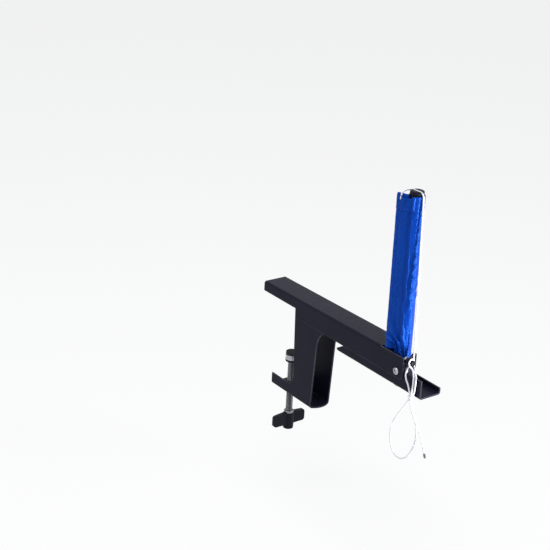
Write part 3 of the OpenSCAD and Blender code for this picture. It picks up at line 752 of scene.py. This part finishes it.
def clamp_screw():
    low, thread_low, thread_top = -139, -122.5, -68.2
    shank_top, neck_top, head_top = -66.5, -63.5, -60.8
    neck_r, head_r, worn = 2.27, 3.0, 0.05
    shank = rod(low, thread_low, SCREW_R - worn)
    shoulder = lathe(rounded([(0, thread_top), (SCREW_R - 0.3, thread_top),
                              (SCREW_R - 0.4, shank_top), (0, shank_top)], 0.3), 40)
    neck = lathe([(0, shank_top), (neck_r, shank_top), (neck_r, neck_top), (0, neck_top)], 32)
    head = rod(neck_top, head_top, head_r, 0.5, 32)
    shape = joined(shank, threaded(thread_low, thread_top), shoulder, neck, head)
    finish = "zinc", groove_darkened_thread(SCREW_X * MM, THREAD_ROOT * MM, SCREW_R * MM)
    piece("screw_thread", turned(shape, (SCREW_X, 0, 0)), "screw", finish, ["clamp_screw"],
          weld=False)


def wing_knob():
    """A hub and two wings, melted into one moulding by a remesh and rounded by smoothing."""
    top, low, hub_r, hub_low_r = -123.5, -141, 5.5, 5.35
    span, wing_low, wing_root, corner, wing_t, taper = 19, -136.5, 4, 2.5, 5.5, 0.012
    hub = lathe([(0, low), (hub_low_r, low), (hub_r, top), (0, top)], 48)
    outline = [(0, top), (hub_r, top - 0.1)]
    outline += arc(span - corner, top - corner - 1, corner, 90, 0, 5)
    outline += arc(span - corner, wing_low + corner, corner, 0, -90, 5)
    outline += [(wing_root, wing_low), (0, wing_low)]
    wing = [Vector((x, side * wing_t / 2, z)) for side in (-1, 1) for x, z in outline]
    for p in wing:
        p.y *= 1 - taper * max(0, p.x - wing_root)
    n = len(outline)
    faces = [list(range(n)), list(range(n, 2 * n))[::-1]]
    faces += [[k, n + k, n + (k + 1) % n, (k + 1) % n] for k in range(n)]
    wings = [([Vector((-sign * p.y, sign * p.x, p.z)) for p in wing], faces) for sign in (-1, 1)]
    shape = turned(joined(hub, *wings), (SCREW_X, 0, 0))
    made = piece("knob_moulding", shape, "screw", PLASTIC, ["wing_knob"], weld=False)
    having(made.modifiers.new("melt", "REMESH"), mode="VOXEL", voxel_size=0.36 * MM,
           use_smooth_shade=True)
    having(made.modifiers.new("ease", "SMOOTH"), factor=0.5, iterations=9)


def on_screw(name, profile, body, finish, replaces, closed=True):
    """A turned piece about the screw's axis."""
    shape = turned(lathe(profile, 56, closed), (SCREW_X, 0, 0))
    bevel(piece(name, shape, body, finish, replaces), 0.12, 1, 50)


def pad():
    cup = [(3.31, CUP_LOW), (6.25, CUP_LOW), (6.5, -63.75), (6.5, -63.3), (6.3, -63.05),
           (6.3, -60.1), (6.42, -59.5), (6.2, FACE_LOW), (0, FACE_LOW), (0, -60.6), (3.31, -60.6)]
    on_screw("pad_cup", cup, "pad", ZINC, ["pressure_cup"])
    top, groove = -56.0, -56.35
    face = [(0, FACE_LOW), (6.1, FACE_LOW), (6.1, groove), (5.9, top - 0.05)]
    for k in range(4):
        r = 5.3 - k * 1.35
        face += [(r, top), (r - 0.2, groove), (r - 0.55, groove), (r - 0.75, top)]
    face.append((0, top))
    on_screw("pad_rubber", face, "pad", RUBBER, ["pad_face"], closed=False)
    low, bore_r, r, soft = -66.3, 2.33, 6.3, 0.6
    cut_in = soft * 0.3
    rim = [(bore_r, low), (r - soft, low), (r - cut_in, low + cut_in), (r, low + soft),
           (r, CUP_LOW - soft), (r - cut_in, CUP_LOW - cut_in), (r - soft, CUP_LOW),
           (bore_r, CUP_LOW)]
    on_screw("pad_ring", rim, "pad", PLASTIC, ["pad_retainer"])


def knob_collar():
    bore_r, low, hub_top, top = 3.52, -136, -123.5, -121.0
    profile = [(bore_r, low), (4.2, low), (4.2, hub_top), (4.7, hub_top), (5.0, hub_top + 0.3),
               (5.0, top - 0.6), (4.6, top), (3.9, top), (bore_r, top - 0.3)]
    on_screw("knob_collar", profile, "screw", SCREW_ZINC, ["knob_insert"])


def weld_nut():
    """Hex nut with a bored middle, and a weld bead against each second flat."""
    low, high, across, bore_r, past = -93.5, -87.5, 13, SCREW_R + 0.06, 2
    corner_r = across / 2 / math.cos(math.pi / 6)
    outline = [polar(corner_r, math.radians(60 * k + 30)).xy for k in range(6)]
    body = turned(prism(outline, high - low), (SCREW_X, 0, low))
    bore = [(0, low - past), (bore_r, low - past), (bore_r, high + past), (0, high + past)]
    body = cut("nut_body", body, turned(lathe(bore, 48), (SCREW_X, 0, 0)))
    bevel(piece("nut_body", body, "root", PAINT, ["weld_nut"]), 0.5, 2, 50)
    blobs, blob_gap, blob_r, uneven = 7, 0.9, 0.9, 0.12
    beads = []
    random.seed(11)
    for side in range(3):
        a = math.radians(120 * side + 60)
        middle = Vector((SCREW_X, 0, low)) + polar(across / 2 + 0.1, a)
        for k in range(blobs):
            at = middle + polar((k - blobs // 2) * blob_gap, a + math.pi / 2)
            r = blob_r + random.uniform(-uneven, uneven)
            blob = [(0, 0), (r, 0), (r * 0.9, r * 0.5), (r * 0.4, r * 0.85), (0, r * 0.9)]
            beads.append(turned(lathe(rounded(blob, 0.2), 12), at))
    piece("nut_weld", joined(*beads), "root", PAINT)


clamp_screw()
wing_knob()
pad()
knob_collar()
weld_nut()


# ---- post, cap, peg and side screws
def post_cap():
    head_r, plug_r, plug_len, low, top = 6.25, 4.95, 12, 154.6, 158
    slot_half, slot_deep = 1.2, 1.5
    profile = [(0, low - plug_len), (plug_r, low - plug_len), (plug_r, low), (head_r - 0.15, low),
               (head_r, low + 0.3), (head_r, top - 0.9), (head_r - 0.25, top - 0.35),
               (head_r - 0.85, top - 0.05), (head_r - 1.6, top), (0, top)]
    head = turned(lathe(profile, 72), (POST_X, 0, 0))
    slot = box((POST_X - 8, -slot_half, top - slot_deep), (POST_X + 8, slot_half, top + 2))
    head = cut("cap_head", head, slot)
    bevel(piece("cap_head", head, "root", PLASTIC, ["post_cap"]), 0.25, 2, 45)


def cross_head(radius, height):
    """A low domed screw head on Z = 0, with a cross cut in it."""
    long, wide, low, high = 4.4 / 2, 1.2 / 2, height - 1.0, height + 1
    profile = [(0, 0), (radius - 0.15, 0), (radius, 0.2), (radius, height * 0.35),
               (radius * 0.93, height * 0.66), (radius * 0.75, height * 0.87),
               (radius * 0.45, height * 0.98), (0, height)]
    return cut("cross_head", lathe(profile, 40), box((-long, -wide, low), (long, wide, high)),
               box((-wide, -long, low), (wide, long, high)))


def side_screws():
    inset, side_z, slot_turn, shank_r, shank_len = 8.3, -3.5, 38, 1.98, 6.2
    head = cross_head(3.3, 1.3)
    work = bmesh.new()
    for sign, end in ((-1, ARM_RUN), (1, FAR_END)):
        at = (end - inset, sign * ARM_HALF, side_z)
        aside = Vector((0, 0, 1)).rotation_difference(Vector((0, sign, 0))).to_matrix().to_4x4()
        turn = Matrix.Rotation(math.radians(slot_turn), 4, "Z")
        side = head.copy()
        side.transform(Matrix.Translation(Vector(at) * MM) @ aside @ turn)
        work.from_mesh(side)
        shank = turned(rod(0, shank_len, shank_r, steps=28), at, (0, -sign, 0))
        work.from_mesh(as_mesh("shank", shank))
    mesh = bpy.data.meshes.new("side_screw_heads")
    work.to_mesh(mesh)
    work.free()
    bevel(piece("side_screw_heads", mesh, "root", ZINC, ["side_screws"]), 0.1, 1, 50)


def cord_peg():
    """Turned peg: stud, waist for the cord, and a low domed head."""
    profile = [(0, -4.4), (1.45, -4.4), (1.45, 0), (2.5, 0), (2.5, 0.5), (2.35, 0.9), (2.35, 4.6),
               (2.45, 5.15), (2.7, 5.25), (2.7, 5.7), (2.5, 6.1), (1.9, 6.3), (1.0, 6.4), (0, 6.4)]
    shape = turned(lathe(profile, 44), (BRACKET_X, -7.5, 8), (1, 0, 0))
    bevel(piece("peg_turned", shape, "root", PLASTIC, ["cord_peg"]), 0.12, 1, 50)


post_cap()
side_screws()
cord_peg()


# ---- end sleeve
POST_R = 6
CLOTH_T = 0.42
CLOTH_CLEAR = 0.65     # least gap between the post and the cloth
SLEEVE_TOP, SLEEVE_LOW = 154, 3.6
SLEEVE_TALL = SLEEVE_TOP - SLEEVE_LOW
SLEEVE_WALL, SLEEVE_FLARE = 1, 0.5
FLAP_W, FLAP_SLIM, FLAP_T = 15.5, 1.2, 1.2
FLAP_BOW, FLAP_RIPPLE, GATHER_H = 0.8, 0.25, 1.1
HEM_RISE, RISE_FULL, RISE_FROM = 9, 0.4, 0.85  # how far the flap's hem is gathered up, and where
FLAP_COLS, TUBE_COLS, BACK_COLS = 48, 120, 26
SLEEVE_ROWS = 300
SEAM_AT = -66          # angle of the seam, where the flap leaves the tube
BACK_JOIN = 258        # angle at which the tube meets the back of the flap
BACK_FROM = 0.34       # share of the flap's width where its back begins
HEM_Z = SLEEVE_TOP - 14
TAUT_Z = 56            # below this height the tube is pulled smooth
TIP_SEAM, TIP_Z = 5.5, 2.5  # lower tip of the tube: distance from the seam, and height


def sine(degrees):
    return math.sin(math.radians(degrees))


def cosine(degrees):
    return math.cos(math.radians(degrees))


def near(x, middle, width):
    """A bell curve, 1 at its middle."""
    return math.exp(-((x - middle) / width) ** 2)


def step(x, low, high):
    """From 0 at low to 1 at high, with soft ends."""
    t = min(1.0, max(0.0, (x - low) / (high - low)))
    return t * t * (3 - 2 * t)


def tube_r(a, s):
    """Outer radius of the plain tube at an angle and a share of its height, from the top."""
    swell = 0.16 * sine(3 * a + 300 * s) + 0.12 * sine(5 * a - 700 * s)
    return POST_R + SLEEVE_WALL + SLEEVE_FLARE * s + swell


def flap_at(f, s, out):
    """A point of the flap, f from 0 at the seam to 1 at its free edge, out from its middle."""
    wave = (FLAP_RIPPLE * sine(520 * s) + GATHER_H * s ** 4 * sine(400 * f + 120)) * sine(160 * f)
    stand = tube_r(SEAM_AT, s) - FLAP_T / 2 + out - FLAP_BOW * f * f + wave
    run = (FLAP_W - FLAP_SLIM * s) * f
    across, along = cosine(SEAM_AT), sine(SEAM_AT)
    return stand * across + run * along, stand * along - run * across


def rough(x, y, seed):
    """Smooth noise from -1 to 1."""
    return noise.noise(Vector((x, y, seed)))


def fold_line(t):
    """A sharp fold where t passes a whole number, from 0 to 1."""
    return (2 * abs(t % 1 - 0.5)) ** 3


def cloth_columns():
    """Columns across the unfolded cloth: which part of it, and the place in that part."""
    turn, depth = BACK_JOIN - SEAM_AT, 1 - BACK_FROM
    columns = [("flap", 1 - k / FLAP_COLS) for k in range(FLAP_COLS)]
    columns += [("tube", SEAM_AT + turn * k / TUBE_COLS) for k in range(TUBE_COLS + 1)]
    return columns + [("back", BACK_FROM + depth * k / BACK_COLS) for k in range(1, BACK_COLS + 1)]


def seam_folds(seam, z):
    """The wavy ridge of the seam, with a groove on each side of it."""
    line = 0.4 + 1.0 * rough(0, z * 0.085, 5) + 0.4 * rough(0, z * 0.3, 6)
    ridge = (0.75 + 0.3 * rough(3, z * 0.12, 8)) * near(seam, line, 0.95)
    return ridge - 0.45 * near(seam, line - 2.3, 1.1) - 0.4 * near(seam, line + 2.2, 1.2)


def buckles(seam, z):
    """Crossing folds where the loose tube has sunk down the post, in cells about 10 mm tall."""
    wander = 3.4 * rough(seam * 0.1, z * 0.04, 61) + 1.6 * rough(seam * 0.2, z * 0.12, 63)
    climb, round_ = (z + wander) / 11, seam / 13
    folds = 1.2 * max(fold_line(climb + round_), fold_line(climb - round_ + 0.3)) - 0.5
    depth = 0.8 + 0.5 * rough(seam * 0.08, z * 0.06, 71)
    return depth * folds * step(z, TAUT_Z - 3, TAUT_Z + 8) * (1 - step(z, HEM_Z - 3, HEM_Z))


def flap_folds(seam, z, s):
    """Slanting ribs, the net's mesh pressing through, and puckers along the net's seam."""
    slant = (-seam * 0.9 + z * 0.75 + 2.4 * rough(seam * 0.1, z * 0.05, 41)) / 6
    depth = 0.5 + 0.6 * rough(seam * 0.07, z * 0.035, 43)
    out = 0.42 * fold_line(slant) * depth * step(-seam, 1, 5)
    out += 0.07 * (fold_line(z / 4.3) + fold_line(seam / 4.3)) * step(-seam, 3, 5)
    edge = FLAP_W - FLAP_SLIM * s - 3.2
    out -= 0.5 * near(-seam, edge, 1.0) * (0.3 + 0.7 * fold_line(z / 3.6))
    return out + 0.15 * near(-seam, edge - 2, 0.9)


def tip_folds(seam, z):
    """Folds that fan out from the tube's lower tip, where the sleeve is drawn down."""
    along, up = TIP_SEAM - seam, z - TIP_Z
    reach, angle = math.hypot(along, up), math.degrees(math.atan2(up, along))
    depth = 1.2 * step(reach, 2, 9) * (1 - step(reach, 22, 42))
    depth *= step(angle, 20, 34) * (1 - step(angle, 88, 104))
    return depth * sine(360 * (angle + 6 * rough(reach * 0.08, 2, 19)) / 19)


def fold(kind, value, seam, s, z):
    """How far the cloth stands off its plain form, in mm, outwards."""
    out = 0.14 * rough(seam * 0.16, z * 0.05, 3) + 0.08 * rough(seam * 0.5, z * 0.16, 9)
    if kind == "back":
        return out
    out += seam_folds(seam, z) + tip_folds(seam, z)
    if kind == "tube":
        out += buckles(seam, z) * (1 - step(value, 120, 170)) * step(seam, 1, 4)
        taut = (1 - step(z, TAUT_Z - 6, TAUT_Z)) * step(z, SLEEVE_LOW, SLEEVE_LOW + 8)
        out += 0.6 * taut * near(value, -4, 15) - 0.3 * taut * near(value, -40, 14)
        out += 0.9 * near(value, -25, 13) * near(z, TAUT_Z + 1.5, 2.4)
    else:
        out += flap_folds(seam, z, s)
    out += 0.32 * step(z, HEM_Z - 0.8, HEM_Z + 1) - 0.6 * near(z, HEM_Z, 1.1)
    gathers = fold_line(seam / 9 + 0.35 * rough(seam * 0.2, z * 0.1, 81))
    out += 0.4 * gathers * step(z, HEM_Z, HEM_Z + 3)
    return out + 0.2 * (1 - step(z, SLEEVE_LOW + 4.4, SLEEVE_LOW + 5.4)) - 0.15


def hem_shift(kind, value, s):
    """How far a point moves up, in mm: the flap's lower part lies gathered over the arm."""
    if kind == "tube":
        return 0.0
    gathered = HEM_RISE * min(1, value / RISE_FULL) * max(0, s - RISE_FROM) / (1 - RISE_FROM)
    upper = 1.0
    if kind == "flap":
        upper = -2.2 * step(value, 0, 0.15) * (1 - step(value, 0.5, 0.9))
    return gathered + upper * (1 - step(s, 0, 0.06))


def cloth_points():
    """Rows of points on the middle of the cloth, from its top down and across it unfolded."""
    columns, rows = cloth_columns(), []
    for i in range(SLEEVE_ROWS + 1):
        s = i / SLEEVE_ROWS
        z = SLEEVE_TOP - SLEEVE_TALL * s
        tatter = step(s, 0.97, 1) + 0.4 * (1 - step(s, 0, 0.02))
        row = []
        for kind, value in columns:
            if kind == "tube":
                seam = math.radians(value - SEAM_AT) * (POST_R + SLEEVE_WALL)
                r = tube_r(value, s) - CLOTH_T / 2 + fold(kind, value, seam, s, z)
                r = max(POST_R + CLOTH_CLEAR + CLOTH_T / 2, r)
                x, y = r * cosine(value), r * sine(value)
            else:
                seam = -value * FLAP_W
                layer = (-1 if kind == "back" else 1) * (FLAP_T - CLOTH_T) / 2
                x, y = flap_at(value, s, layer + fold(kind, value, seam, s, z))
            ragged = 0.35 * rough(seam * 0.35, 2 + 5 * s, 77) * tatter
            row.append(Vector((POST_X + x, y, z + hem_shift(kind, value, s) + ragged)))
        rows.append(row)
    return rows


def end_sleeve():
    rows = cloth_points()
    made = piece("sleeve_cloth", grid(rows), "root", CLOTH, ["net_sleeve"], weld=False)
    middle = rows[len(rows) // 2]
    width = [0.0]
    for a, b in zip(middle, middle[1:]):
        width.append(width[-1] + (b - a).length)
    layer = made.data.uv_layers.new(name="cloth")
    for loop in made.data.loops:
        i, k = divmod(loop.vertex_index, len(middle))
        layer.data[loop.index].uv = (width[k] * MM, SLEEVE_TALL * i / SLEEVE_ROWS * MM)
    having(made.modifiers.new("cloth", "SOLIDIFY"), thickness=CLOTH_T * MM, offset=0)
    return made, rows


sleeve, cloth_rows = end_sleeve()


def cloth_at(column, row):
    """A point on the outer face of the cloth, and the direction out of it."""
    k = min(max(int(column), 0), len(cloth_rows[0]) - 2)
    i = min(max(int(row), 0), SLEEVE_ROWS - 1)
    u, v = column - k, row - i
    (a, b), (c, d) = cloth_rows[i][k:k + 2], cloth_rows[i + 1][k:k + 2]
    at = a * (1 - u) * (1 - v) + b * u * (1 - v) + c * (1 - u) * v + d * u * v
    out = (b - a).cross(a - c).normalized()
    return at + out * CLOTH_T / 2, out


STITCH_R = 0.17
# share of a stitch's length, share of its radius, and how far it stands out of the cloth
STITCH_FORM = ((0, 0.35, -0.12), (0.12, 0.85, 0.02), (0.35, 1, 0.1),
               (0.65, 1, 0.1), (0.88, 0.85, 0.02), (1, 0.35, -0.12))


def capsule(start, end, out):
    """One stitch: a short thread between two points, arched out of the cloth."""
    rows = []
    way = end - start
    side = way.cross(out).normalized()
    for t, r, lift in STITCH_FORM:
        centre = start + way * t + out * lift
        rows.append([centre + (side * math.cos(a) + out * math.sin(a)) * STITCH_R * r
                     for a in (math.pi * 2 * k / 6 for k in range(7))])
    return grid(rows)


def row_of(z):
    return (SLEEVE_TOP - z) / SLEEVE_TALL * SLEEVE_ROWS


def stitch_line(place, length, stitch, gap):
    """Stitches with gaps along a line on the cloth, where place(t) is a column and a row."""
    out, at = [], 0.0
    while at + stitch < length:
        (start, way_a), (end, way_b) = cloth_at(*place(at)), cloth_at(*place(at + stitch))
        out.append(capsule(start, end, (way_a + way_b).normalized()))
        at += stitch + gap
    return out


def sleeve_stitches():
    lines = []
    for column in (FLAP_COLS - 4.5, 8.5):
        lines += stitch_line(lambda t: (column, row_of(SLEEVE_TOP - 2 - t)), SLEEVE_TALL - 6,
                             2.1, 0.9)
    for z in (HEM_Z + 0.9, SLEEVE_LOW + 4.6):
        lines += stitch_line(lambda t: (t, row_of(z)), len(cloth_rows[0]) - 2, 4.2, 1.8)
    piece("sleeve_stitches", joined(*lines), "root", THREAD)


def sleeve_fray():
    """Loose yarns along the flap's cut edge and the lower hem."""
    random.seed(7)
    hairs = []
    places = [(0.1, random.uniform(2, SLEEVE_ROWS - 1), -1) for _ in range(120)]
    places += [(random.uniform(0, FLAP_COLS), SLEEVE_ROWS - 0.1, 0) for _ in range(90)]
    for column, row, side in places:
        at, out = cloth_at(column, row)
        way = Vector((side, random.uniform(-0.4, 0.4), -0.35 if side else -1.0))
        length = random.uniform(0.5, 1.6)
        bend = Vector([random.uniform(-0.4, most) for most in (0.4, 0.4, 0.2)])
        rows = []
        for t, r in ((0, 0.08), (0.5, 0.06), (1, 0.02)):
            centre = at - out * CLOTH_T / 2 + way * length * t + bend * length * t * t
            rows.append([centre + Vector((math.cos(a), math.sin(a), 0.3 * math.cos(a))) * r
                         for a in (math.pi * 2 * k / 4 for k in range(5))])
        hairs.append(grid(rows))
    piece("sleeve_fray", joined(*hairs), "root", CLOTH)


sleeve_stitches()
sleeve_fray()


# ---- CAD nodes that stay
KEPT = {
    "arm_pad": (RUBBER, 0.5),
    "post_socket": (PAINT, 0.3),
    "post_tube": (PAINT, 0.0),
    "post_plug": (ZINC, 0.2),
    "post_bolt": (ZINC, 0.25),
    "post_washer": (ZINC, 0.2),
    "side_nuts": (ZINC, 0.3),
    "peg_nut": (ZINC, 0.2),
}
for name, ((slot, material), edge) in KEPT.items():
    node = frame["nodes"][name]
    node.data.materials.clear()
    node.data.materials.append(material)
    if edge:
        bevel(node, edge, 2, 35)


# ---- floor, lights and world
def shown_white(tree, shader, kind, share):
    """Mixes plain white, from a node of a kind, into what the camera, mirrors and glass see."""
    rays = tree.node("ShaderNodeLightPath").outputs
    seen = tree.maths("MAXIMUM", rays["Is Camera Ray"], rays["Is Glossy Ray"])
    seen = tree.maths("MAXIMUM", seen, rays["Is Transmission Ray"])
    white = tree.node(kind, {"Color": (1, 1, 1, 1), "Strength": 1.0})
    fed = {"Fac": tree.maths("MULTIPLY", seen, share), 1: shader.outputs[0], 2: white.outputs[0]}
    return tree.node("ShaderNodeMixShader", fed).outputs[0]


def floor():
    size, level = 12.0, -0.205
    corners = [(-size, -size), (size, -size), (size, size), (-size, size)]
    mesh = bpy.data.meshes.new("floor")
    mesh.from_pydata([(x, y, level) for x, y in corners], [], [[0, 1, 2, 3]])
    made = placed("floor", mesh)
    f = Finish("pale_floor", Base_Color=(0.86, 0.86, 0.87, 1), Roughness=0.9,
               Specular_IOR_Level=0.1)
    seen = shown_white(f, f.shader, "ShaderNodeEmission", 0.78)
    f.links.new(seen, f.nodes["Material Output"].inputs["Surface"])
    mesh.materials.append(f.mat)


def world():
    scene.world = bpy.data.worlds.new("studio")
    tree = Tree(scene.world)
    base = tree.nodes["Background"]
    base.inputs["Color"].default_value = (0.93, 0.96, 1.0, 1)
    base.inputs["Strength"].default_value = 0.5
    seen = shown_white(tree, base, "ShaderNodeBackground", 1.0)
    tree.links.new(seen, tree.nodes["World Output"].inputs["Surface"])


AIM = (0.09, 0, 0.02)


def lamp(kind, name, at, power, aim=AIM, **settings):
    data = having(bpy.data.lights.new(name, kind), energy=power, **settings)
    turn = (Vector(aim) - Vector(at)).to_track_quat("-Z", "Y")
    placed(name, data, location=at, rotation_mode="QUATERNION", rotation_quaternion=turn,
           visible_camera=False)


floor()
world()
for name, at, power, size_x, size_y in (
    ("overhead", (0.15, -0.25, 1.35), 11, 1.1, 0.9),
    ("right_side", (1.05, 0.62, 0.45), 6, 0.5, 0.5),
    ("left_side", (-0.35, -1.25, 0.5), 3, 0.6, 0.8),
):
    lamp("AREA", name, at, power, shape="RECTANGLE", size=size_x, size_y=size_y)
lamp("SPOT", "sleeve_glint", (0.67, 0.19, -0.12), 29, (POST_X * MM, 0, 0.08),
     shadow_soft_size=0.055, spot_size=math.radians(36), spot_blend=1.0)
